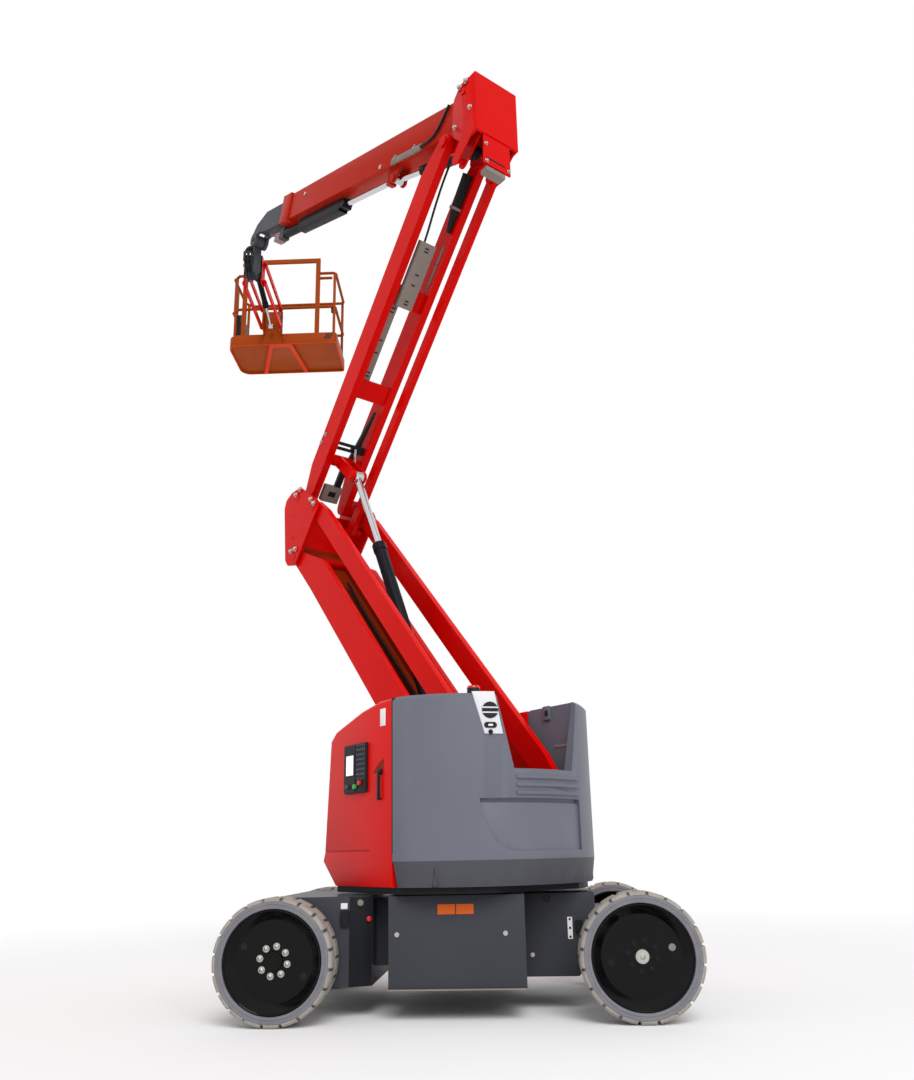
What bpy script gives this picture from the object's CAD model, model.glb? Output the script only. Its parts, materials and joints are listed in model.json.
import json
from math import cos, pi, radians, sin, tau

import bmesh
import bpy
from mathutils import Matrix, Vector


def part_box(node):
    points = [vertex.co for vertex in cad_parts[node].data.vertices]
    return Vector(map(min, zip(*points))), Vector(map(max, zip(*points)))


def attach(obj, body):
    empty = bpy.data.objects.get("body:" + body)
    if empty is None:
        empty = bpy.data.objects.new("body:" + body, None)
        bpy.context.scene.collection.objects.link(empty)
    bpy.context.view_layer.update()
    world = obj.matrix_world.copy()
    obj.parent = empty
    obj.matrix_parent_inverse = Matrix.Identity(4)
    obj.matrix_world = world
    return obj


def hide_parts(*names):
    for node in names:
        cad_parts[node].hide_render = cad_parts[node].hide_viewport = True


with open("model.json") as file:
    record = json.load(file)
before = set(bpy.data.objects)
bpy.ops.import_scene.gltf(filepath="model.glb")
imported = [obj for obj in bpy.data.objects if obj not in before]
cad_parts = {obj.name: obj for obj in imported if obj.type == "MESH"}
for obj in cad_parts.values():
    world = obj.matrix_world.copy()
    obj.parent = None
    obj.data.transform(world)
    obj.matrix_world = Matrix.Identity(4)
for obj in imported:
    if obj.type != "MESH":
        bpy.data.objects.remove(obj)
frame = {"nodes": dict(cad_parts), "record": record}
nodes = frame["nodes"]
behaviour = frame["record"]["behaviour"]
joints = {joint["name"]: joint for joint in behaviour["joints"]}
bodyOf = {node: body for body, members in behaviour["bodies"].items() for node in members}
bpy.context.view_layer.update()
print("frame loaded:", len(nodes), "nodes")


def jointPlace(name):
    return Vector(joints[name]["pos_m"])


def frameAt(origin, along, side):
    along, side = along.normalized(), side.normalized()
    turn = Matrix((along, side, along.cross(side))).transposed()
    return Matrix.Translation(origin) @ turn.to_4x4()


# the machine's own frames: X to the rear or along an arm, Y to the far side, Z up from it
up = Vector((0, 0, 1))
across = Vector(joints["arm_raise"]["axis"])
rear = across.cross(up)
jibSide = -Vector(joints["jib_raise"]["axis"])
turntableFrame = frameAt(Vector(), rear, across)
knuckleFrame = frameAt(jointPlace("knuckle_turn"), rear, across)
headFrame = frameAt(jointPlace("head_turn"), rear, across)
lowerFrame = frameAt(jointPlace("arm_raise"), jointPlace("arm_raise") - jointPlace("knuckle_turn"), across)
upperFrame = frameAt(jointPlace("upper_arm_turn"), jointPlace("head_turn") - jointPlace("upper_arm_turn"), across)
boomFrame = frameAt(jointPlace("boom_raise"), -Vector(joints["telescope"]["axis"]), across)
jibFrame = frameAt(jointPlace("jib_slew"), jibSide.cross(up), jibSide)


def srgb(hexColour):
    channels = [int(hexColour[i:i + 2], 16) / 255 for i in (1, 3, 5)]
    return [c / 12.92 if c <= 0.04045 else ((c + 0.055) / 1.055) ** 2.4 for c in channels] + [1.0]


def addNode(material, kind, settings=None, links=None):
    node = material.node_tree.nodes.new(kind)
    for key, value in (settings or {}).items():
        if isinstance(key, int) or key in node.inputs:
            node.inputs[key].default_value = value
        else:
            setattr(node, key, value)
    for key, source in (links or {}).items():
        material.node_tree.links.new(source, node.inputs[key])
    return node


def newMaterial(name, **shader):
    material = bpy.data.materials.new(name)
    material.use_nodes = True
    principled = material.node_tree.nodes["Principled BSDF"]
    for key, value in shader.items():
        principled.inputs[key.replace("_", " ")].default_value = value
    coords = addNode(material, "ShaderNodeTexCoord").outputs["Object"]
    return material, principled, coords


def link(material, source, socket):
    material.node_tree.links.new(source, socket)


# two-pack enamel sprayed on welded steel: deep colour under a thin gloss, faint orange peel, duller where dust lies
def enamel(name, colour, shade, roughness=0.3, coat=0.05, cloudMm=450.0, peelMm=9.0):
    material, paint, coords = newMaterial(name, IOR=1.45, Specular_IOR_Level=0.06, Coat_Weight=coat,
                                          Coat_Roughness=0.12, Coat_IOR=1.3)
    cloud = addNode(material, "ShaderNodeTexNoise", {"Scale": 1000 / cloudMm, "Detail": 5.0, "Roughness": 0.62},
                    {"Vector": coords})
    tone = addNode(material, "ShaderNodeMix", {"data_type": "RGBA", 6: srgb(colour), 7: srgb(shade)},
                   {"Factor": cloud.outputs["Fac"]})
    dull = addNode(material, "ShaderNodeMapRange", {"To Min": roughness - 0.06, "To Max": roughness + 0.14},
                   {"Value": cloud.outputs["Fac"]})
    peel = addNode(material, "ShaderNodeTexNoise", {"Scale": 1000 / peelMm, "Detail": 2.0}, {"Vector": coords})
    bump = addNode(material, "ShaderNodeBump", {"Strength": 0.05, "Distance": 0.0006},
                   {"Height": peel.outputs["Fac"]})
    link(material, tone.outputs[2], paint.inputs["Base Color"])
    link(material, dull.outputs["Result"], paint.inputs["Roughness"])
    link(material, bump.outputs["Normal"], paint.inputs["Normal"])
    return material


# moulded polyethylene and ABS: no coat, a fine leathery grain that spreads the highlight
def moulding(name, colour, shade, roughness=0.45, grainMm=3.0, cloudMm=350.0):
    material, skin, coords = newMaterial(name, IOR=1.49, Specular_IOR_Level=0.2)
    cloud = addNode(material, "ShaderNodeTexNoise", {"Scale": 1000 / cloudMm, "Detail": 4.0}, {"Vector": coords})
    tone = addNode(material, "ShaderNodeMix", {"data_type": "RGBA", 6: srgb(colour), 7: srgb(shade)},
                   {"Factor": cloud.outputs["Fac"]})
    grain = addNode(material, "ShaderNodeTexNoise", {"Scale": 1000 / grainMm, "Detail": 3.0}, {"Vector": coords})
    bump = addNode(material, "ShaderNodeBump", {"Strength": 0.12, "Distance": 0.0004},
                   {"Height": grain.outputs["Fac"]})
    dull = addNode(material, "ShaderNodeMapRange", {"To Min": roughness - 0.05, "To Max": roughness + 0.1},
                   {"Value": cloud.outputs["Fac"]})
    link(material, tone.outputs[2], skin.inputs["Base Color"])
    link(material, dull.outputs["Result"], skin.inputs["Roughness"])
    link(material, bump.outputs["Normal"], skin.inputs["Normal"])
    return material


# non-marking grey rubber, cured in a mould: matt, with pale dust rubbed into the tread
def tyreRubberOf(name, colour, dust, dustMm=60.0):
    material, rubber, coords = newMaterial(name, IOR=1.52, Specular_IOR_Level=0.3)
    rubbed = addNode(material, "ShaderNodeTexNoise", {"Scale": 1000 / dustMm, "Detail": 6.0, "Roughness": 0.7},
                     {"Vector": coords})
    patches = addNode(material, "ShaderNodeMapRange", {"From Min": 0.35, "From Max": 0.7},
                      {"Value": rubbed.outputs["Fac"]})
    tone = addNode(material, "ShaderNodeMix", {"data_type": "RGBA", 6: srgb(colour), 7: srgb(dust)},
                   {"Factor": patches.outputs["Result"]})
    dull = addNode(material, "ShaderNodeMapRange", {"To Min": 0.62, "To Max": 0.88},
                   {"Value": patches.outputs["Result"]})
    bump = addNode(material, "ShaderNodeBump", {"Strength": 0.2, "Distance": 0.0008},
                   {"Height": rubbed.outputs["Fac"]})
    link(material, tone.outputs[2], rubber.inputs["Base Color"])
    link(material, dull.outputs["Result"], rubber.inputs["Roughness"])
    link(material, bump.outputs["Normal"], rubber.inputs["Normal"])
    return material


# hard chrome and bright zinc on turned steel: a mirror broken by fine marks of the tool, drawn coarse to show
def plated(name, colour, roughness, markMm=6.0):
    material, metal, coords = newMaterial(name, Metallic=1.0)
    marks = addNode(material, "ShaderNodeTexNoise", {"Scale": 1000 / markMm, "Detail": 3.0}, {"Vector": coords})
    dull = addNode(material, "ShaderNodeMapRange", {"To Min": roughness * 0.7, "To Max": roughness * 1.5},
                   {"Value": marks.outputs["Fac"]})
    metal.inputs["Base Color"].default_value = srgb(colour)
    link(material, dull.outputs["Result"], metal.inputs["Roughness"])
    return material


# lit display and lamps behind clear plastic: an even field of one colour
def litDisplay(name, colour):
    material, glass, coords = newMaterial(name, Roughness=0.15, Emission_Strength=0.35)
    glass.inputs["Base Color"].default_value = srgb(colour)
    glass.inputs["Emission Color"].default_value = srgb(colour)
    return material


redEnamel = enamel("redEnamel", "#D80602", "#C60502")
boomEnamel = enamel("boomEnamel", "#BA2008", "#A81D08")
basketEnamel = enamel("basketEnamel", "#A8430A", "#8A3A0A", 0.4)
basketEdge = enamel("basketEdge", "#DC3C14", "#C83410", 0.4)
shadeEnamel = enamel("shadeEnamel", "#8E2606", "#7E2406", 0.45, 0.05)
chassisEnamel = enamel("chassisEnamel", "#44454B", "#3A3B41", 0.4, 0.1)
darkEnamel = enamel("darkEnamel", "#222327", "#1A1B1E", 0.45, 0.1)
rimEnamel = enamel("rimEnamel", "#060607", "#09090B", 0.1, 0.5)
barrelEnamel = enamel("barrelEnamel", "#15151A", "#1E1E25", 0.28)
noseEnamel = enamel("noseEnamel", "#4C4D52", "#414247", 0.4, 0.1)
trayZinc = enamel("trayZinc", "#8F8781", "#7B726B", 0.5, 0.0, 180.0)
pinkPrimer = enamel("pinkPrimer", "#A08886", "#907876", 0.5, 0.0)
redMoulding = moulding("redMoulding", "#D80602", "#CA0602", 0.36)
tailMoulding = moulding("tailMoulding", "#696B77", "#61636E", 0.4)
tailSkirt = moulding("tailSkirt", "#4B4B52", "#46464D", 0.5)
hoodSkirt = moulding("hoodSkirt", "#BE0502", "#B40502", 0.45)
whiteMoulding = moulding("whiteMoulding", "#DCDCDF", "#D0D0D5", 0.38)
blackMoulding = moulding("blackMoulding", "#131316", "#1B1B1F", 0.42)
greyMoulding = moulding("greyMoulding", "#4E5058", "#44464D", 0.42)
orangePlate = moulding("orangePlate", "#D8601A", "#CA5614", 0.4)
palePlate = moulding("palePlate", "#EDEDEA", "#E2E2DE", 0.35)
hoseRubber = moulding("hoseRubber", "#161618", "#1F1F22", 0.4, 2.0)
wallRubber = tyreRubberOf("wallRubber", "#6E6E76", "#7D7C80", 90.0)
treadRubber = tyreRubberOf("treadRubber", "#8C8782", "#A8A198")
chromePlate = plated("chromePlate", "#C9C9CC", 0.12)
zincPlate = plated("zincPlate", "#B9B7B2", 0.3)
displayGlass = litDisplay("displayGlass", "#EEF2F6")
lampRed = litDisplay("lampRed", "#B01008")
lampGreen = litDisplay("lampGreen", "#2E8A40")

finishes = {
    redEnamel: ("lower_arm", "lower_ties", "arm_knuckle", "upper_arm", "upper_tie", "boom_head",
                "jib_lower_links", "jib_upper_links"),
    boomEnamel: ("boom_outer",),
    redMoulding: ("front_hood_near", "front_hood_far"),
    basketEnamel: ("basket_bracket", "basket_floor", "basket_rails"),
    chassisEnamel: ("chassis_frame", "battery_box_near", "battery_box_far", "drive_axle", "steer_axle",
                    "steer_knuckle_near", "steer_knuckle_far"),
    darkEnamel: ("turntable", "batteries", "track_rod"),
    tailMoulding: ("tail_cover",),
    tailSkirt: ("counterweights",),
    rimEnamel: ("rim_drive_near", "rim_drive_far", "rim_steer_near", "rim_steer_far"),
    treadRubber: ("tyre_drive_near", "tyre_drive_far", "tyre_steer_near", "tyre_steer_far"),
    barrelEnamel: ("arm_lift_barrel", "boom_lift_barrel", "telescope_barrel", "jib_barrel", "jib_rotator"),
    noseEnamel: ("boom_inner", "level_head"),
    trayZinc: ("cable_trays",),
    whiteMoulding: ("horn_panel",),
    blackMoulding: ("lower_controls", "upper_controls"),
    chromePlate: ("arm_lift_rod", "boom_lift_rod", "telescope_rod", "jib_rod"),
}
for material, names in finishes.items():
    for name in names:
        nodes[name].data.materials.clear()
        nodes[name].data.materials.append(material)
print("finishes set:", len(finishes))


def placeMesh(name, mesh, body, smooth):
    mesh.shade_smooth()
    mesh.set_sharp_from_angle(angle=radians(smooth))
    piece = bpy.data.objects.new(name, mesh)
    bpy.context.scene.collection.objects.link(piece)
    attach(piece, body)
    return piece


def bevelSharp(bm, angle, width, segments, shortest=0.0, **how):
    sharp = [e for e in bm.edges
             if e.is_manifold and e.calc_face_angle() > radians(angle) and e.calc_length() > shortest]
    bmesh.ops.bevel(bm, geom=sharp, offset=width, segments=segments, profile=0.5, affect="EDGES", material=-1, **how)


def makePiece(name, bm, body, *materials, edge=0.0, segments=2, matrix=None, smooth=35):
    if matrix is not None:
        bmesh.ops.transform(bm, matrix=matrix, verts=bm.verts)
    bmesh.ops.recalc_face_normals(bm, faces=bm.faces)
    if edge:
        bevelSharp(bm, 30, edge, segments, clamp_overlap=True)
    mesh = bpy.data.meshes.new(name)
    bm.to_mesh(mesh)
    bm.free()
    for material in materials:
        mesh.materials.append(material)
    return placeMesh(name, mesh, body, smooth)


def paintSlot(verts, slot):
    for face in {f for v in verts for f in v.link_faces}:
        face.material_index = slot
    return verts


def addBox(bm, low, high, slot=0):
    size = Vector(high) - Vector(low)
    middle = (Vector(high) + Vector(low)) / 2
    made = bmesh.ops.create_cube(bm, size=1.0, matrix=Matrix.Translation(middle) @ Matrix.Diagonal((*size, 1)))
    return paintSlot(made["verts"], slot)


def addRound(bm, centre, axis, radius, length, segments=24, slot=0, tip=None):
    turn = Vector(axis).to_track_quat("Z", "Y").to_matrix().to_4x4()
    made = bmesh.ops.create_cone(bm, cap_ends=True, segments=segments, radius1=radius,
                                 radius2=radius if tip is None else tip, depth=length,
                                 matrix=Matrix.Translation(Vector(centre)) @ turn)
    return paintSlot(made["verts"], slot)


# flat piece that stands out from a side wall, from (x, z) to (x, z)
def addPlate(bm, wall, out, thick, low, high, slot=0):
    y = sorted((wall, wall + out * thick))
    return addBox(bm, (low[0], y[0], low[1]), (high[0], y[1], high[1]), slot)


# round that stands out from a side wall at (x, z); its size is (height of its middle, radius, thickness)
def addDisc(bm, wall, out, place, size, sides, slot=0):
    height, radius, thick = size
    addRound(bm, (place[0], wall + out * height, place[1]), (0, out, 0), radius, thick, sides, slot)


# hexagon head on a washer, standing out along an axis from a surface; all but the washer in shares of its flats
boltSet = {"washer": 0.003, "washerRadius": 0.85, "headRadius": 0.577, "headHeight": 0.6}


def addBolt(bm, centre, axis, flat=0.024, slot=0):
    s = boltSet
    out = Vector(axis).normalized()
    head = flat * s["headHeight"]
    addRound(bm, Vector(centre) + out * s["washer"] / 2, out, flat * s["washerRadius"], s["washer"], 20, slot)
    addRound(bm, Vector(centre) + out * (s["washer"] + head / 2), out, flat * s["headRadius"], head, 6, slot)


def makeHose(name, body, material, matrix, radius, *paths):
    curve = bpy.data.curves.new(name, "CURVE")
    curve.dimensions = "3D"
    curve.bevel_depth = radius
    curve.bevel_resolution = 3
    curve.use_fill_caps = True
    for path in paths:
        spline = curve.splines.new("NURBS")
        spline.points.add(len(path) - 1)
        for point, place in zip(spline.points, path):
            point.co = (*(matrix @ Vector(place)), 1)
        spline.use_endpoint_u = True
        spline.order_u = min(4, len(path))
        spline.resolution_u = 8
    holder = bpy.data.objects.new(name, curve)
    mesh = bpy.data.meshes.new_from_object(holder)
    bpy.data.objects.remove(holder)
    mesh.name = name
    mesh.materials.clear()
    mesh.materials.append(material)
    return placeMesh(name, mesh, body, 50)


# rolled and ground edges on the welded plates and mouldings: a copy of the solid with its sharp edges rounded
edgeSet = {
    "front_hood_near": 0.006, "front_hood_far": 0.006, "tail_cover": 0.005, "battery_box_near": 0.005,
    "battery_box_far": 0.005, "chassis_frame": 0.004, "lower_arm": 0.004, "lower_ties": 0.004, "arm_knuckle": 0.004,
    "upper_arm": 0.004, "upper_tie": 0.004, "boom_head": 0.004, "boom_outer": 0.004, "lower_controls": 0.006,
    "upper_controls": 0.006, "horn_panel": 0.002, "jib_lower_links": 0.004, "jib_upper_links": 0.004,
    "basket_floor": 0.002, "jib_rotator": 0.002, "counterweights": 0.012,
}


def roundEdges(node, width):
    bm = bmesh.new()
    bm.from_mesh(nodes[node].data)
    bmesh.ops.remove_doubles(bm, verts=bm.verts, dist=0.00002)
    bmesh.ops.dissolve_limit(bm, angle_limit=radians(1.0), verts=bm.verts, edges=bm.edges)
    bevelSharp(bm, 24, width, 2, 4 * width, clamp_overlap=True, loop_slide=True)
    mesh = bpy.data.meshes.new(node + "Rounded")
    bm.to_mesh(mesh)
    bm.free()
    mesh.materials.append(nodes[node].data.materials[0])
    piece = placeMesh(node + "Rounded", mesh, bodyOf[node], 28)
    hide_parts(node)
    return piece


rounded = {node: roundEdges(node, width) for node, width in edgeSet.items()}


# a second paint on part of a piece, chosen by where its faces lie in a frame
def paintWhere(node, material, matrix, chosen):
    mesh = rounded[node].data
    mesh.materials.append(material)
    back = matrix.inverted()
    for face in mesh.polygons:
        if chosen(back @ face.center, back.to_3x3() @ face.normal):
            face.material_index = 1


# where each second paint starts or ends
paintSet = {"floorEdge": 0.002, "rotatorCheek": 0.0835, "armInside": 0.1905, "armFrom": -0.99, "skirtTop": 0.835}
floorCorners = [jibFrame.inverted() @ v.co for v in nodes["basket_floor"].data.vertices]
floorLow = min(corner.z for corner in floorCorners)


# the lower arm's channel is in shade from its middle to its tip
def insideLowerArm(place, normal):
    inward = normal.z > 0.9 or normal.y * place.y < -0.05
    return abs(place.y) < paintSet["armInside"] and place.x < paintSet["armFrom"] and inward and abs(normal.x) < 0.5


# the tail and the hoods tuck in below a height
def onSkirt(place, normal):
    return place.z < paintSet["skirtTop"] and normal.z < -0.04


paintWhere("basket_floor", basketEdge, jibFrame, lambda place, normal: place.z < floorLow + paintSet["floorEdge"])
paintWhere("jib_rotator", redEnamel, jibFrame, lambda place, normal: abs(place.y) > paintSet["rotatorCheek"])
paintWhere("lower_arm", shadeEnamel, lowerFrame, insideLowerArm)
paintWhere("tail_cover", tailSkirt, turntableFrame, onSkirt)
for hood in ("front_hood_near", "front_hood_far"):
    paintWhere(hood, hoodSkirt, turntableFrame, onSkirt)
print("edges rounded:", len(rounded))


# closed section of (radius, y) points turned about a wheel's axle
def spinSection(bm, section, steps):
    ring = [bm.verts.new((radius, y, 0)) for radius, y in section]
    edges = [bm.edges.new((ring[i - 1], ring[i])) for i in range(len(ring))]
    bmesh.ops.spin(bm, geom=ring + edges, cent=(0, 0, 0), axis=(0, 1, 0), angle=tau, steps=steps, use_merge=True)
    bmesh.ops.remove_doubles(bm, verts=bm.verts, dist=0.00001)


# solid tyres: a moulded carcass with a ring on its wall, and two rows of lugs set half a pitch apart
tyreSet = {"wall": ((0.246, 0.086), (0.249, 0.093), (0.259, 0.095), (0.2612, 0.0925), (0.2668, 0.0925), (0.269, 0.095),
                    (0.279, 0.0945), (0.287, 0.086)),
           "lug": ((0.282, 0.006), (0.300, 0.006), (0.300, 0.082), (0.289, 0.095), (0.281, 0.095)),
           "lugs": 20, "gap": 2.9, "spinSteps": 100, "lugSteps": 5, "lugEdge": 0.0022}


def makeTyre(wheel):
    s = tyreSet
    low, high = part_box("tyre_" + wheel)
    bm = bmesh.new()
    spinSection(bm, (*s["wall"], *((radius, -y) for radius, y in reversed(s["wall"]))), s["spinSteps"])
    lug = bmesh.new()
    face = lug.faces.new([lug.verts.new((radius, y, 0)) for radius, y in s["lug"]])
    sweep = 360 / s["lugs"] - s["gap"]
    bmesh.ops.spin(lug, geom=[face, *face.edges, *face.verts], cent=(0, 0, 0), axis=(0, 1, 0), angle=radians(sweep),
                   steps=s["lugSteps"])
    bmesh.ops.holes_fill(lug, edges=[e for e in lug.edges if e.is_boundary])
    bmesh.ops.recalc_face_normals(lug, faces=lug.faces)
    bevelSharp(lug, 35, s["lugEdge"], 1)
    mesh = bpy.data.meshes.new("lug")
    lug.to_mesh(mesh)
    lug.free()
    for row in (0, 1):
        for i in range(s["lugs"]):
            before = len(bm.verts)
            bm.from_mesh(mesh)
            bm.verts.ensure_lookup_table()
            turn = Matrix.Rotation(radians((i + row / 2) * 360 / s["lugs"]), 4, "Y")
            flip = Matrix.Scale(-1, 4, (0, 1, 0)) if row else Matrix.Identity(4)
            bmesh.ops.transform(bm, matrix=turn @ flip, verts=bm.verts[before:])
            paintSlot(bm.verts[before:], 1)
    bpy.data.meshes.remove(mesh)
    piece = makePiece("tyre" + wheel, bm, "wheel_" + wheel, wallRubber, treadRubber,
                      matrix=Matrix.Translation((low + high) / 2), smooth=32)
    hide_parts("tyre_" + wheel)


# what shows on a rim: rolled lip, ring of nuts, two hand holes and the hub; rounds are (height, thickness, radius, tip
# radius, sides), a nut's radii in shares of nutRadius, and holes (angle, ring, slot)
rimSet = {"lipRadius": 0.2405, "lipWire": 0.0055, "lipSink": 0.002, "lipSides": 10, "spinSteps": 96, "disc": 0.042,
          "nuts": 8, "nutRing": 0.070, "nutRadius": 0.0125,
          "nutSteps": ((0.0015, 0.003, 1.35, 1.35, 20), (0.0085, 0.011, 1.0, 1.0, 6), (0.0165, 0.005, 0.8, 0.3, 16)),
          "driveHub": ((0.004, 0.008, 0.046, 0.04324, 40), (0.009, 0.004, 0.0253, 0.0253, 32)),
          "steerHub": ((0.009, 0.018, 0.036, 0.0324, 40), (0.021, 0.006, 0.02592, 0.02592, 32),
                       (0.026, 0.006, 0.0144, 0.0072, 24)),
          "holeRadius": 0.017, "holeThick": 0.0012,
          "driveHoles": ((25, 0.166, 2), (205, 0.166, 2)), "steerHoles": ((165, 0.152, 3), (-10, 0.152, 4))}


def makeRimTrim(wheel):
    s = rimSet
    low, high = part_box("rim_" + wheel)
    centre = (low + high) / 2
    lip = (high.y - low.y) / 2
    disc = lip - s["disc"]
    axle = Vector((0, 1, 0))
    drive = "drive" in wheel
    nutSlot, hubSlot = (1, 0) if drive else (4, 1)
    bm = bmesh.new()
    angles = [tau * i / s["lipSides"] for i in range(s["lipSides"])]
    spinSection(bm, [(s["lipRadius"] + s["lipWire"] * cos(a), lip - s["lipSink"] + s["lipWire"] * sin(a))
                     for a in angles], s["spinSteps"])
    for i in range(s["nuts"]):
        a = tau * (i + 0.25) / s["nuts"]
        place = Vector((s["nutRing"] * cos(a), disc, s["nutRing"] * sin(a)))
        for height, thick, radius, tip, sides in s["nutSteps"]:
            addRound(bm, place + axle * height, axle, s["nutRadius"] * radius, thick, sides, nutSlot,
                     s["nutRadius"] * tip)
    for a, ring, slot in s["driveHoles" if drive else "steerHoles"]:
        place = Vector((ring * cos(radians(a)), disc + s["holeThick"] / 2, ring * sin(radians(a))))
        addRound(bm, place, axle, s["holeRadius"], s["holeThick"], 28, slot)
    for height, thick, radius, tip, sides in s["driveHub" if drive else "steerHub"]:
        addRound(bm, axle * (disc + height), axle, radius, thick, sides, hubSlot, tip)
    turn = Matrix.Identity(4) if centre.y > 0 else Matrix.Rotation(pi, 4, "Z")
    makePiece("rimTrim" + wheel, bm, "wheel_" + wheel, rimEnamel, zincPlate, blackMoulding, trayZinc,
              darkEnamel, matrix=Matrix.Translation(centre) @ turn)


for wheel in ("drive_near", "drive_far", "steer_near", "steer_far"):
    makeTyre(wheel)
    makeRimTrim(wheel)
print("wheels dressed")


# battery doors: two turn latches, a pair of blank orange plates and a bright folded foot
doorSet = {"latchX": (-0.30, 0.245), "latchZ": 0.407, "latch": (0.003, 0.012, 0.006), "blade": (0.0025, 0.010),
           "bladeFrom": 0.006, "bladeThick": 0.005, "plates": (((-0.094, 0.500), (-0.006, 0.548)),
           ((0.0, 0.500), (0.088, 0.548))), "plateThick": 0.0015, "foot": 0.010, "footHigh": 0.006}


def makeDoor(side):
    s = doorSet
    low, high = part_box("battery_box_" + side)
    out = -1 if side == "near" else 1
    wall = low.y if out < 0 else high.y
    bm = bmesh.new()
    half, reach = s["blade"]
    z = s["latchZ"]
    for x in s["latchX"]:
        addDisc(bm, wall, out, (x, z), s["latch"], 24)
        addPlate(bm, wall + out * s["bladeFrom"], out, s["bladeThick"], (x - half, z - reach), (x + half, z + reach))
    for plate in s["plates"]:
        addPlate(bm, wall, out, s["plateThick"], *plate, 1)
    addPlate(bm, wall, out, s["foot"], (low.x, low.z), (high.x, low.z + s["footHigh"]), 2)
    makePiece("batteryDoor" + side, bm, "chassis", zincPlate, orangePlate, trayZinc)


# fittings on the chassis sides: socket and blank pale plate at the tail; drilled strip, socket, round hole and bolt at
# the nose; plates are (from, to, slot, thickness)
chassisSet = {"tailWall": 0.500, "noseWall": 0.300,
              "tail": (((-0.607, 0.441), (-0.562, 0.520), 0, 0.016), ((-0.607, 0.527), (-0.572, 0.556), 1, 0.0015)),
              "nose": (((0.570, 0.348), (0.596, 0.458), 1, 0.003), ((0.612, 0.385), (0.650, 0.442), 0, 0.02)),
              "drillings": ((0.583, 0.359), (0.583, 0.403), (0.583, 0.447)), "drilling": (0.0035, 0.006, 0.003),
              "hole": (0.468, 0.552), "holeSize": (0.001, 0.020, 0.002), "bolt": (0.380, 0.272), "boltFlat": 0.014}


def makeChassisTrim():
    s = chassisSet
    bm = bmesh.new()
    for out in (-1, 1):
        for key in ("tail", "nose"):
            wall = out * s[key + "Wall"]
            for low, high, slot, proud in s[key]:
                addPlate(bm, wall, out, proud, low, high, slot)
        # the rest is on the nose's wall
        for place in s["drillings"]:
            addDisc(bm, wall, out, place, s["drilling"], 16)
        addDisc(bm, wall, out, s["hole"], s["holeSize"], 28)
        addBolt(bm, (s["bolt"][0], wall, s["bolt"][1]), (0, out, 0), s["boltFlat"], 2)
    makePiece("chassisTrim", bm, "chassis", blackMoulding, palePlate, zincPlate, edge=0.0012, segments=1)


# dark cover over the charger between the drive end and the battery box, with a plug and a red switch
coverSet = {"from": (-0.5585, -0.5035), "to": (-0.4515, -0.4570), "low": 0.152, "high": 0.586, "skin": 0.004,
            "plug": (0.45, 0.556), "plugSize": (0.006, 0.016, 0.014), "switch": (0.85, 0.476),
            "switchSize": (0.006, 0.013, 0.014)}


def makeCharger(out):
    s = coverSet
    start, end = Vector(s["from"]), Vector(s["to"])
    along = (end - start).normalized()
    length = (end - start).length
    bm = bmesh.new()
    addBox(bm, (0, -s["skin"], s["low"]), (length, s["skin"], s["high"]), 0)
    for key, slot in (("plug", 1), ("switch", 2)):
        share, z = s[key]
        addDisc(bm, -s["skin"], -1, (share * length, z), s[key + "Size"], 24, slot)
    place = frameAt(Vector((*start, 0)), Vector((*along, 0)), up.cross(Vector((*along, 0))))
    if out > 0:
        place = Matrix.Scale(-1, 4, (0, 1, 0)) @ place
    makePiece("chargerCover" + ("Near" if out < 0 else "Far"), bm, "chassis", darkEnamel, trayZinc, lampRed,
              edge=0.0015, matrix=place)


for side in ("near", "far"):
    makeDoor(side)
makeChassisTrim()
for out in (-1, 1):
    makeCharger(out)
print("chassis dressed")


# near hood: control panel with a lit display, keys and three knobs, pull latch in a dished recess, blank pale plate;
# fields are (from, to) in (r, z)
hoodSet = {"wall": -0.668, "panelFace": -0.686, "bezel": ((-0.170, 1.128), (-0.052, 1.380)), "bezelThick": 0.004,
           "frame": ((-0.152, 1.210), (-0.060, 1.334)), "frameThick": 0.0015,
           "display": ((-0.144, 1.218), (-0.068, 1.326)), "displayThick": 0.001,
           "keyField": ((-0.046, 1.194), (0.044, 1.380)), "keyThick": 0.003, "keyRows": 7, "keyColumns": 4,
           "key": (0.007, 0.008), "knobs": ((-0.128, 1.157, 2), (-0.046, 1.155, 4), (0.004, 1.172, 3)),
           "knob": (0.010, 0.013, 0.014), "latchPivot": (0.180, 1.217), "pivot": (0.006, 0.016, 0.014),
           "handle": ((0.171, 1.072), (0.187, 1.222)), "handleFrom": 0.010, "handleThick": 0.012,
           "handleFoot": ((0.174, 1.072), (0.184, 1.084)), "plate": ((0.171, 1.460), (0.224, 1.553)),
           "plateThick": 0.0015, "recess": ((0.100, 1.215), (0.150, 1.262), (0.209, 1.290), (0.205, 1.215)),
           "recessProud": 0.0004, "recessRim": 0.006}


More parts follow.
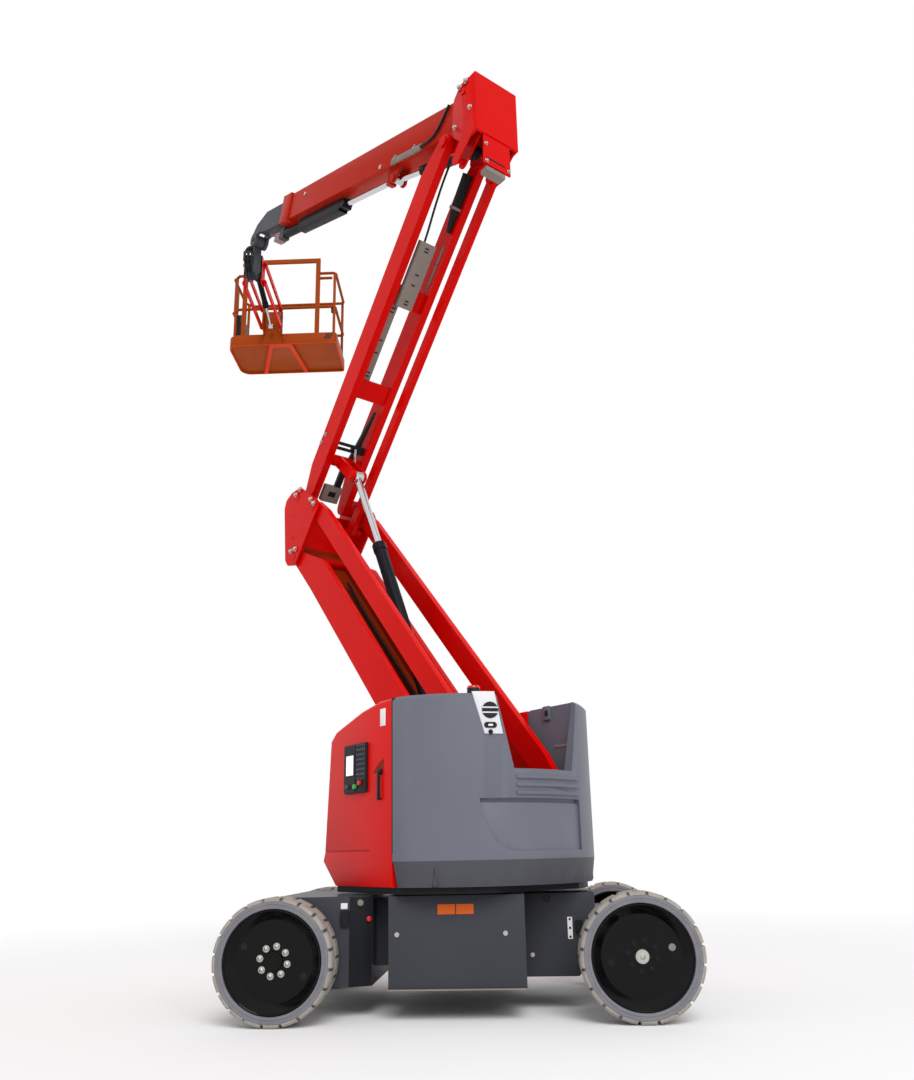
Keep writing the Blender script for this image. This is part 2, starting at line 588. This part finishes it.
def makeHoodTrim():
    s = hoodSet
    bm = bmesh.new()
    face = s["panelFace"]
    addPlate(bm, face, -1, s["bezelThick"], *s["bezel"], 0)
    face -= s["bezelThick"]
    addPlate(bm, face, -1, s["frameThick"], *s["frame"], 0)
    addPlate(bm, face - s["frameThick"], -1, s["displayThick"], *s["display"], 1)
    face = s["panelFace"]
    addPlate(bm, face, -1, s["keyThick"], *s["keyField"], 2)
    (r0, z0), (r1, z1) = s["keyField"]
    half, tall = s["key"]
    for row in range(s["keyRows"]):
        for column in range(s["keyColumns"]):
            r = r0 + (column + 0.5) * (r1 - r0) / s["keyColumns"]
            z = z0 + (row + 0.5) * (z1 - z0) / s["keyRows"]
            addPlate(bm, face - s["keyThick"], -1, s["keyThick"], (r - half, z - tall), (r + half, z + tall), 0)
    for *place, slot in s["knobs"]:
        addDisc(bm, face, -1, place, s["knob"], 24, slot)
    makePiece("controlPanel", bm, "turntable", blackMoulding, displayGlass, greyMoulding, lampRed, lampGreen,
              edge=0.001, segments=1, matrix=turntableFrame)
    bm = bmesh.new()
    wall = s["wall"]
    addDisc(bm, wall, -1, s["latchPivot"], s["pivot"], 24)
    addPlate(bm, wall - s["handleFrom"], -1, s["handleThick"], *s["handle"], 0)
    addPlate(bm, wall, -1, s["handleThick"], *s["handleFoot"], 0)
    addPlate(bm, wall, -1, s["plateThick"], *s["plate"], 1)
    makePiece("hoodLatch", bm, "turntable", blackMoulding, palePlate, edge=0.0015, matrix=turntableFrame)
    bm = bmesh.new()
    face = bm.faces.new([bm.verts.new((r, wall - s["recessProud"], z)) for r, z in s["recess"]])
    bmesh.ops.inset_region(bm, faces=[face], thickness=s["recessRim"], depth=0.0)
    makePiece("latchRecess", bm, "turntable", shadeEnamel, matrix=turntableFrame)


# weather strip that fills the joint between each front hood and the tail
seamSet = {"from": 0.568, "deep": 0.1006, "low": (0.2825, 0.800), "high": (0.2915, 1.597)}


def makeSeam(side):
    s = seamSet
    bm = bmesh.new()
    addPlate(bm, side * s["from"], side, s["deep"], s["low"], s["high"])
    makePiece("hoodSeam" + ("Near" if side < 0 else "Far"), bm, "turntable", hoseRubber, matrix=turntableFrame)


# horn panel: round black grille behind two bars, an oval vent, a bolt, and a beacon socket on the edge above
hornSet = {"radius": 0.7615, "angle": -25.2, "thick": 0.006, "grille": 1.507, "grilleRadius": 0.043,
           "bars": (1.494, 1.520), "barX": (0.001, 0.006), "barHalf": 0.0035, "oval": 1.429, "ovalEnds": 0.019,
           "ovalHigh": 0.015, "ovalCore": ((0.002, -0.012, 1.424), (0.0045, 0.012, 1.434)), "bolt": 1.394,
           "boltFlat": 0.014, "knobAngle": -31.0, "knobRadius": 0.700,
           "knob": ((1.615, 0.034, 0.030, 0, 0.034), (1.636, 0.036, 0.014, 1, 0.030))}


def makeHorn():
    s = hornSet
    bm = bmesh.new()
    addRound(bm, (0, 0, s["grille"]), (1, 0, 0), s["grilleRadius"], s["thick"], 40, 0)
    for z in s["bars"]:
        addBox(bm, (s["barX"][0], -s["grilleRadius"], z - s["barHalf"]),
               (s["barX"][1], s["grilleRadius"], z + s["barHalf"]), 1)
    for way in (-1, 1):
        addRound(bm, (0, way * s["ovalEnds"], s["oval"]), (1, 0, 0), s["ovalHigh"], s["thick"], 28, 0)
    addBox(bm, (-s["thick"] / 2, -s["ovalEnds"], s["oval"] - s["ovalHigh"]),
           (s["thick"] / 2, s["ovalEnds"], s["oval"] + s["ovalHigh"]), 0)
    addBox(bm, *s["ovalCore"], 2)
    addBolt(bm, (0, 0, s["bolt"]), (1, 0, 0), s["boltFlat"], 3)
    place = Matrix.Rotation(radians(s["angle"]), 4, "Z") @ Matrix.Translation((s["radius"], 0, 0))
    makePiece("hornGrille", bm, "turntable", blackMoulding, whiteMoulding, zincPlate, darkEnamel,
              matrix=turntableFrame @ place)
    bm = bmesh.new()
    for z, radius, thick, slot, tip in s["knob"]:
        addRound(bm, (0, 0, z), (0, 0, 1), radius, thick, 32, slot, tip)
    place = Matrix.Rotation(radians(s["knobAngle"]), 4, "Z") @ Matrix.Translation((s["knobRadius"], 0, 0))
    makePiece("beaconSocket", bm, "turntable", blackMoulding, lampRed, edge=0.002, matrix=turntableFrame @ place)


# far tower of the tail: catch with a dark finger hole at the top of its inner wall, and a striker strip
towerSet = {"catch": ((0.430, 0.283, 1.525), (0.485, 0.297, 1.605)),
            "hole": ((0.448, 0.281, 1.548), (0.474, 0.284, 1.580)),
            "strip": ((0.50, 0.2925, 1.36), (0.62, 0.2960, 1.375))}


def makeTower():
    bm = bmesh.new()
    for slot, key in enumerate(("catch", "hole", "strip")):
        addBox(bm, *towerSet[key], slot)
    makePiece("towerCatch", bm, "turntable", tailMoulding, blackMoulding, trayZinc, edge=0.0015, matrix=turntableFrame)


makeHoodTrim()
for side in (-1, 1):
    makeSeam(side)
makeHorn()
makeTower()
print("hoods dressed")


# keepers on the pins of the knuckle and the head: two bright heads on a short bar
keeperSet = {"bar": (0.110, 0.030, 0.006), "boltShare": 0.32, "flat": 0.024}


def addKeeper(bm, r, z, wall, out, turn=0.0):
    s = keeperSet
    length, height, thick = s["bar"]
    tilt = Matrix.Translation((r, wall, z)) @ Matrix.Rotation(radians(turn), 4, "Y")
    bar = addPlate(bm, 0, out, thick, (-length / 2, -height / 2), (length / 2, height / 2), 0)
    bmesh.ops.transform(bm, matrix=tilt, verts=bar)
    for way in (-1, 1):
        place = tilt @ Vector((way * length * s["boltShare"], out * thick, 0))
        addBolt(bm, place, (0, out, 0), s["flat"], 1)


# knuckle: wide cheek plates over the solid's, the ends of its web, pin caps with their keepers, and two studs a side
knuckleSet = {"wall": 0.258, "pins": ((0.050, 0.467, -20), (0.0, 0.0, 0), (0.293, 0.310, 45)),
              "cap": (0.002, 0.030, 0.004), "keeper": (0.01, 0.045),
              "cheek": ((-0.138, 0.0), (-0.095, -0.052), (-0.020, -0.068), (0.045, -0.045), (0.150, 0.100),
                        (0.150, 0.420), (0.100, 0.535), (0.050, 0.548), (-0.060, 0.545), (-0.150, 0.510),
                        (-0.181, 0.450)),
              "cheekY": (0.2385, 0.2585), "webTop": ((-0.0715, -0.2375, 0.358), (-0.0585, 0.2375, 0.425)),
              "webFoot": ((-0.0715, -0.2375, 0.040), (-0.0585, 0.2375, 0.112)),
              "studs": ((-0.010, 0.330), (-0.010, 0.150)), "stud": (0.001, 0.010, 0.002)}


def makeKnuckleTrim():
    s = knuckleSet
    bm = bmesh.new()
    for out in (-1, 1):
        wall = out * s["wall"]
        for r, z, turn in s["pins"]:
            addDisc(bm, wall, out, (r, z), s["cap"], 32)
            addKeeper(bm, r + s["keeper"][0], z + s["keeper"][1], wall, out, turn)
        for place in s["studs"]:
            addDisc(bm, wall, out, place, s["stud"], 20, 2)
        inner, outer = (out * y for y in s["cheekY"])
        cheek = bm.faces.new([bm.verts.new((r, inner, z)) for r, z in s["cheek"]])
        grown = bmesh.ops.extrude_face_region(bm, geom=[cheek])["geom"]
        corners = [v for v in grown if isinstance(v, bmesh.types.BMVert)]
        bmesh.ops.translate(bm, vec=(0, outer - inner, 0), verts=corners)
    addBox(bm, *s["webTop"], 0)
    addBox(bm, *s["webFoot"], 2)
    makePiece("knuckleKeepers", bm, "arm_knuckle", redEnamel, zincPlate, shadeEnamel, edge=0.001, segments=1,
              matrix=knuckleFrame)


# boom head: keeper and bolts on its sides, and the lower rear panel with its slot and folded foot
headSet = {"wall": 0.180, "keeper": (0.235, 0.300), "bolts": ((0.300, 0.060), (0.130, 0.020)), "boltFlat": 0.022,
           "panel": ((0.343, -0.118, -0.395), (0.357, 0.108, -0.155)),
           "slot": ((0.353, -0.090, -0.352), (0.358, 0.060, -0.338)),
           "foot": ((0.293, -0.100, -0.440), (0.357, 0.060, -0.408)), "rivetFace": 0.357, "rivetFlat": 0.016,
           "rivets": ((-0.100, -0.235), (0.092, -0.365), (-0.098, -0.370))}


def makeHeadTrim():
    s = headSet
    bm = bmesh.new()
    for out in (-1, 1):
        addKeeper(bm, *s["keeper"], out * s["wall"], out)
        for r, z in s["bolts"]:
            addBolt(bm, (r, out * s["wall"], z), (0, out, 0), s["boltFlat"], 1)
    for key, slot in (("panel", 0), ("slot", 2), ("foot", 3)):
        addBox(bm, *s[key], slot)
    for y, z in s["rivets"]:
        addBolt(bm, (s["rivetFace"], y, z), (1, 0, 0), s["rivetFlat"], 1)
    makePiece("headTrim", bm, "boom_head", redEnamel, zincPlate, darkEnamel, trayZinc, edge=0.001, segments=1,
              matrix=headFrame)


makeKnuckleTrim()
makeHeadTrim()


# hydraulic hoses: a fan leaves the head between the upper beams, is drawn in by a clamp and turns off to the far beam;
# one cable runs on to the tray
hoseSet = {"rows": 2, "perRow": 4, "radius": 0.0095, "head": 2.660, "clamp": 2.420, "turn": 2.250, "near": 0.060,
           "pitch": 0.0185, "tight": (0.070, 0.0135), "bend": (0.095, 0.006), "off": (0.103, 0.003), "low": -0.022,
           "layer": 0.021, "cableRadius": 0.008, "clampX": (2.410, 2.430), "clampY": (0.054, 0.122, 0.125),
           "clampZ": (-0.0375, 0.0145), "strap": 0.002,
           "cable": ((2.660, -0.064, 0.020), (2.540, -0.068, 0.012), (2.420, -0.064, 0.004), (2.28, -0.064, -0.020),
                     (2.16, -0.064, -0.050), (2.02, -0.064, -0.056))}


def makeUpperHoses():
    s = hoseSet
    head, clamp, turn = s["head"], s["clamp"], s["turn"]
    paths = []
    for row in range(s["rows"]):
        for i in range(s["perRow"]):
            y = s["near"] + i * s["pitch"]
            z = s["low"] + row * s["layer"]
            tight, bend, off = (first + i * step for first, step in (s["tight"], s["bend"], s["off"]))
            bow = 0.004 * (i + row) - 0.006
            paths.append([(head, y, z + 0.008), (head - 0.07, y, z + bow), (head - 0.14, y, z),
                          (clamp + 0.04, tight, z), (clamp - 0.04, tight, z), (turn + 0.06, bend, z * 0.8),
                          (turn, off, z * 0.6)])
    makeHose("upperHoses", "upper_arm", hoseRubber, upperFrame, s["radius"], *paths)
    makeHose("trayCable", "upper_arm", hoseRubber, upperFrame, s["cableRadius"], s["cable"])
    bm = bmesh.new()
    (x0, x1), strap = s["clampX"], s["strap"]
    near, far, end = s["clampY"]
    low, high = s["clampZ"]
    for z in (low + strap, high - strap):
        addBox(bm, (x0, near, z - strap), (x1, end, z + strap), 0)
    for y in (near, far):
        addBox(bm, (x0, y - strap, low), (x1, y + strap, high), 0)
    makePiece("hoseClamp", bm, "upper_arm", trayZinc, edge=0.001, segments=1, matrix=upperFrame)


# clip slots under both trays, the clipped strip on the far beam's inner wall, and two bolts on each beam
clipSet = {"slot": (0.005, 0.016, 0.001), "hung": (-0.0705, -0.034, 1.66, 2.11), "lying": (-0.0005, -0.083, 1.06, 1.64),
           "slotShares": (0.03, 0.08, 0.35, 0.52, 0.90, 0.95), "strip": ((1.81, 0.119, -0.010), (2.15, 0.125, 0.012)),
           "stripShares": (0.06, 0.12, 0.60), "stripClip": (0.004, 0.001, 0.003),
           "beamBolts": ((0.530, 0.092), (0.455, 0.108)), "beamWall": 0.183, "beamFlat": 0.020}


def makeTrayClips():
    s = clipSet
    bm = bmesh.new()
    half, wide, thick = s["slot"]
    for z, middle, start, end in (s["hung"], s["lying"]):
        for share in s["slotShares"]:
            x = start + share * (end - start)
            addBox(bm, (x - half, middle - wide, z - thick), (x + half, middle + wide, z + thick), 0)
    low, high = s["strip"]
    addBox(bm, low, high, 1)
    half, thick, inset = s["stripClip"]
    for share in s["stripShares"]:
        x = low[0] + share * (high[0] - low[0])
        addBox(bm, (x - half, low[1] - thick, low[2] + inset), (x + half, low[1], high[2] - inset), 0)
    for x, z in s["beamBolts"]:
        for out in (-1, 1):
            addBolt(bm, (x, out * s["beamWall"], z), (0, out, 0), s["beamFlat"], 2)
    makePiece("trayClips", bm, "upper_arm", blackMoulding, trayZinc, zincPlate, matrix=upperFrame)


# cable carrier between the feet of the upper beams: end block, smooth lower run to the cross tube, black bracket, and
# an upper run that narrows towards the far beam; a bright union stands before it
carrierSet = {"lowRun": ((0.150, 0.004, -0.005), (0.335, 0.056, 0.025)),
              "highRun": ((0.415, 0.036, -0.005), (0.830, 0.088, 0.025)), "joint": 0.062, "tip": (0.100, 0.006),
              "bars": (0.480, 0.520), "bar": (-0.008, 0.013, 0.250),
              "bracket": ((0.470, 0.012, -0.020), (0.525, 0.125, 0.004)),
              "block": ((0.030, -0.080, -0.022), (0.165, 0.068, 0.026)),
              "window": ((0.080, -0.036, -0.0235), (0.122, 0.026, -0.0200)),
              "union": (0.450, 0.055, -0.040), "unionWay": (1, -0.25, 0.15), "unionSize": (0.011, 0.130)}


def makeCarrier():
    s = carrierSet
    bm = bmesh.new()
    addBox(bm, *s["lowRun"], 0)
    middle, half = s["tip"]
    for vert in addBox(bm, *s["highRun"], 0):
        if vert.co.x > s["highRun"][0][0] + 0.01:
            vert.co.y = middle + (half if vert.co.y > s["joint"] else -half)
    z, radius, length = s["bar"]
    for x in s["bars"]:
        addRound(bm, (x, 0, z), (0, 1, 0), radius, length, 20, 0)
    for key, slot in (("bracket", 0), ("block", 1), ("window", 0)):
        addBox(bm, *s[key], slot)
    addRound(bm, s["union"], s["unionWay"], *s["unionSize"], 20, 2)
    makePiece("cableCarrier", bm, "upper_arm", blackMoulding, trayZinc, zincPlate, edge=0.0015, segments=1,
              matrix=upperFrame)


# boom: pressed cover with two clips on the near side, the cable that feeds it, and plugs in the wall
boomSet = {"wall": 0.090, "cover": ((-1.030, -0.199), (-0.600, -0.151)), "coverThick": 0.013,
           "clips": (((-0.992, -0.205), (-0.968, -0.133)), ((-0.712, -0.205), (-0.688, -0.133))),
           "clipThick": 0.017, "clipBolts": ((-0.980, -0.163), (-0.700, -0.163)), "clipFlat": 0.010,
           "plugs": ((-2.650, -0.023), (-1.216, -0.160)),
           "plug": (0.004, 0.018, 0.008), "cableRadius": 0.010,
           "cable": ((-0.300, -0.102, 0.040), (-0.330, -0.104, -0.030), (-0.390, -0.104, -0.130),
                     (-0.460, -0.104, -0.170), (-0.600, -0.104, -0.176))}


def makeBoomTrim():
    s = boomSet
    wall = -s["wall"]
    bm = bmesh.new()
    addPlate(bm, wall, -1, s["coverThick"], *s["cover"], 0)
    for clip, (x, z) in zip(s["clips"], s["clipBolts"]):
        addPlate(bm, wall, -1, s["clipThick"], *clip)
        addBolt(bm, (x, wall - s["clipThick"], z), (0, -1, 0), s["clipFlat"], 1)
    for place in s["plugs"]:
        for out in (-1, 1):
            addDisc(bm, out * s["wall"], out, place, s["plug"], 24, 1)
    makePiece("boomCover", bm, "boom_outer", trayZinc, zincPlate, edge=0.002, matrix=boomFrame)
    makeHose("boomCable", "boom_outer", hoseRubber, boomFrame, s["cableRadius"], s["cable"])


makeUpperHoses()
makeTrayClips()
makeCarrier()
makeBoomTrim()


# hoses that run up inside the lower arm from the turntable, clipped to its floor plate
lowerHoseSet = {"radius": 0.012, "rows": (-0.120, -0.090, 0.095),
                "path": ((-0.480, 0.110), (-0.620, 0.030), (-1.020, 0.010), (-1.640, 0.010), (-2.460, 0.010),
                         (-2.660, 0.030)),
                "clips": (-1.20, -1.75, -2.30), "clipHalf": 0.020, "clipY": (-0.145, -0.030),
                "clipZ": (-0.020, 0.028), "clipBolt": -0.055, "clipFlat": 0.018,
                "floor": ((-2.945, -0.190, -0.038), (-2.690, 0.190, -0.020)),
                "channel": ((-2.300, -0.072, -0.020), (-1.020, -0.016, -0.006))}


def makeLowerHoses():
    s = lowerHoseSet
    paths = [[(x, y, z) for x, z in s["path"]] for y in s["rows"]]
    makeHose("lowerHoses", "lower_arm", hoseRubber, lowerFrame, s["radius"], *paths)
    bm = bmesh.new()
    (y0, y1), (z0, z1) = s["clipY"], s["clipZ"]
    for x in s["clips"]:
        addBox(bm, (x - s["clipHalf"], y0, z0), (x + s["clipHalf"], y1, z1), 0)
        addBolt(bm, (x, s["clipBolt"], z1), (0, 0, 1), s["clipFlat"], 1)
    addBox(bm, *s["floor"], 2)
    addBox(bm, *s["channel"], 3)
    makePiece("lowerHoseClips", bm, "lower_arm", trayZinc, zincPlate, shadeEnamel, redEnamel, edge=0.0015, segments=1,
              matrix=lowerFrame)


makeLowerHoses()
print("arms dressed")


# boom nose: primed block under it, the folded black guard along the telescope cylinder, and the rest of its rod, which
# shows between guard and bracket at full reach
noseSet = {"block": ((-3.345, -0.042, -0.318), (-3.236, 0.042, -0.238)),
           "guard": ((-2.790, -0.0435, -0.318), (-1.960, 0.0435, -0.214)),
           "step": ((-1.960, -0.0425, -0.300), (-1.890, 0.0425, -0.224)),
           "rod": (-2.570, -2.760), "rodHeight": -0.262, "rodRadius": 0.0218}


def makeNoseTrim():
    bm = bmesh.new()
    addBox(bm, *noseSet["block"], 0)
    makePiece("noseBlock", bm, "boom_inner", pinkPrimer, edge=0.004, matrix=boomFrame)
    bm = bmesh.new()
    for key in ("guard", "step"):
        sleeve = addBox(bm, *noseSet[key], 0)
        bm.normal_update()
        ends = [f for f in {f for v in sleeve for f in v.link_faces} if abs(f.normal.x) > 0.9]
        bmesh.ops.delete(bm, geom=ends, context="FACES")  # the rod runs through its open ends
    makePiece("telescopeGuard", bm, bodyOf["telescope_barrel"], barrelEnamel, edge=0.006, matrix=boomFrame)
    bm = bmesh.new()
    start, end = noseSet["rod"]
    addRound(bm, ((start + end) / 2, 0, noseSet["rodHeight"]), (1, 0, 0), noseSet["rodRadius"], start - end, 32)
    makePiece("telescopeRodTip", bm, bodyOf["telescope_rod"], chromePlate, matrix=boomFrame)


# rotator: valve block with three unions and the hoses that loop under it
rotatorSet = {"valve": ((0.030, -0.070, -0.190), (0.098, 0.070, -0.080)), "rows": (-0.040, 0.0, 0.040),
              "union": (0.106, -0.135), "unionSize": (0.014, 0.018), "hoseRadius": 0.008,
              "loop": ((0.112, 1.0, -0.135), (0.165, 1.0, -0.140), (0.175, 0.8, -0.230), (0.110, 0.7, -0.330),
                       (0.020, 0.9, -0.352), (-0.050, 1.0, -0.345))}


def makeRotatorTrim():
    s = rotatorSet
    bm = bmesh.new()
    addBox(bm, *s["valve"], 0)
    x, z = s["union"]
    for y in s["rows"]:
        addRound(bm, (x, y, z), (1, 0, 0), *s["unionSize"], 20, 1)
    makePiece("rotatorValve", bm, "jib_rotator", blackMoulding, zincPlate, edge=0.003, matrix=jibFrame)
    loops = [[(x, y * share, z) for x, share, z in s["loop"]] for y in s["rows"]]
    makeHose("rotatorHoses", "jib_rotator", hoseRubber, jibFrame, s["hoseRadius"], *loops)


makeNoseTrim()
makeRotatorTrim()


# basket: hazard bars on the toe board at the near right corner, and three anchors; heights from the floor's underside
basketX = [f(corner.x for corner in floorCorners) for f in (max, min)]
basketY = [f(corner.y for corner in floorCorners) for f in (min, max)]
basketSet = {"bars": 4, "barWidth": 0.014, "barThick": 0.0012, "barZ": (0.046, 0.114), "barFrom": 0.130,
             "barPitch": 0.02125, "lean": 0.35, "anchorHalf": (0.018, 0.012), "anchorZ": (0.420, 0.484),
             "anchorIn": 0.05, "anchorSide": 0.20, "anchorCorner": 0.06}


def makeBasketTrim():
    s = basketSet
    near, right = basketX[0], basketY[1]
    low, high = (floorLow + z for z in s["barZ"])
    middle = Matrix.Translation((0, 0, (low + high) / 2))
    shear = Matrix.Identity(4)
    shear[1][2] = s["lean"]
    bm = bmesh.new()
    for i in range(s["bars"]):
        y = right - s["barFrom"] + i * s["barPitch"]
        bar = addBox(bm, (near, y, low), (near + s["barThick"], y + s["barWidth"], high), 0)
        bmesh.ops.transform(bm, matrix=middle @ shear @ middle.inverted(), verts=bar)
    far = basketX[1] + s["anchorIn"]
    wide, deep = s["anchorHalf"]
    low, high = (floorLow + z for z in s["anchorZ"])
    for x, y in ((far, basketY[0] + s["anchorSide"]), (far, right - s["anchorSide"]),
                 (near - s["anchorIn"], right - s["anchorCorner"])):
        addBox(bm, (x - wide, y - deep, low), (x + wide, y + deep, high), 0)
    makePiece("basketMarks", bm, "basket", blackMoulding, matrix=jibFrame)


makeBasketTrim()
print("basket dressed")


# the photograph's camera, found from the wheels, the hoods and the arms
cameraSet = {"place": (0.312, -5.405, 0.801), "yaw": 3.286, "pitch": 15.94, "roll": -1.156,
             "focalPixels": 901.8, "frame": (914, 1080), "centreRow": 594.3}


def makeCamera():
    camera = bpy.data.objects.new("camera", bpy.data.cameras.new("camera"))
    bpy.context.scene.collection.objects.link(camera)
    wide, high = cameraSet["frame"]
    camera.data.sensor_fit = "AUTO"
    camera.data.lens = camera.data.sensor_width * cameraSet["focalPixels"] / high
    camera.data.shift_y = (cameraSet["centreRow"] - high / 2) / high
    turn = (Matrix.Rotation(radians(cameraSet["yaw"]), 4, "Z")
            @ Matrix.Rotation(radians(90 + cameraSet["pitch"]), 4, "X")
            @ Matrix.Rotation(radians(cameraSet["roll"]), 4, "Z"))
    camera.matrix_world = Matrix.Translation(cameraSet["place"]) @ turn
    camera.data.clip_end = 200
    bpy.context.scene.camera = camera


# even white studio: a soft sun and a weak strip from the camera's side, sky light all round, floor that fades to white
stageSet = {"floorSide": 120.0, "floorColour": "#F4F4F4", "skyStrength": 0.62,
            "fadeFrom": 3.2, "fadeTo": 9.0,
            "sun": {"from": (1.2, -5.0, 5.2), "spread": 32, "strength": 1.75},
            "strip": {"place": (3.5, -6.5, 3.5), "aim": (0, 0, 1.5), "size": 1.6, "power": 60}}


# matt paper that takes the soft shadow near the machine and runs out to plain white
def makePaper():
    material, paper, coords = newMaterial("floorPaper", Roughness=0.9, Specular_IOR_Level=0.1)
    paper.inputs["Base Color"].default_value = srgb(stageSet["floorColour"])
    reach = addNode(material, "ShaderNodeVectorMath", {"operation": "LENGTH"}, {0: coords})
    fade = addNode(material, "ShaderNodeMapRange",
                   {"interpolation_type": "SMOOTHSTEP", "From Min": stageSet["fadeFrom"],
                    "From Max": stageSet["fadeTo"]}, {"Value": reach.outputs["Value"]})
    path = addNode(material, "ShaderNodeLightPath")
    seen = addNode(material, "ShaderNodeMath", {"operation": "MAXIMUM"},
                   {0: path.outputs["Is Camera Ray"], 1: path.outputs["Is Glossy Ray"]})
    share = addNode(material, "ShaderNodeMath", {"operation": "MULTIPLY"},
                    {0: fade.outputs["Result"], 1: seen.outputs[0]})
    white = addNode(material, "ShaderNodeEmission", {"Color": srgb("#FFFFFF"), "Strength": 1.0})
    blend = addNode(material, "ShaderNodeMixShader", {},
                    {0: share.outputs[0], 1: paper.outputs[0], 2: white.outputs[0]})
    link(material, blend.outputs[0], material.node_tree.nodes["Material Output"].inputs["Surface"])
    return material


def addLight(name, kind, power, way):
    light = bpy.data.objects.new(name, bpy.data.lights.new(name, kind))
    light.data.energy = power
    light.rotation_euler = way.to_track_quat("-Z", "Y").to_euler()
    bpy.context.scene.collection.objects.link(light)
    return light


def makeStage():
    bm = bmesh.new()
    bmesh.ops.create_grid(bm, x_segments=1, y_segments=1, size=stageSet["floorSide"] / 2)
    mesh = bpy.data.meshes.new("floor")
    bm.to_mesh(mesh)
    bm.free()
    floor = bpy.data.objects.new("floor", mesh)
    bpy.context.scene.collection.objects.link(floor)
    mesh.materials.append(makePaper())
    data = stageSet["sun"]
    sun = addLight("sun", "SUN", data["strength"], -Vector(data["from"]))
    sun.data.angle = radians(data["spread"])
    data = stageSet["strip"]
    strip = addLight("strip", "AREA", data["power"], Vector(data["aim"]) - Vector(data["place"]))
    strip.data.size = data["size"]
    strip.location = data["place"]
    world = bpy.data.worlds.new("studio")
    bpy.context.scene.world = world
    world.use_nodes = True
    sky = world.node_tree.nodes["Background"]
    path = addNode(world, "ShaderNodeLightPath")
    mirrored = addNode(world, "ShaderNodeMath", {"operation": "MAXIMUM"},
                       {0: path.outputs["Is Glossy Ray"], 1: path.outputs["Is Transmission Ray"]})
    seen = addNode(world, "ShaderNodeMath", {"operation": "MAXIMUM"},
                   {0: path.outputs["Is Camera Ray"], 1: mirrored.outputs[0]})
    strength = addNode(world, "ShaderNodeMapRange", {"To Min": stageSet["skyStrength"], "To Max": 1.0},
                       {"Value": seen.outputs[0]})
    sky.inputs["Color"].default_value = srgb("#FFFFFF")
    link(world, strength.outputs["Result"], sky.inputs["Strength"])
    bpy.context.scene.view_settings.view_transform = "Standard"


makeCamera()
makeStage()
print("camera and stage set")
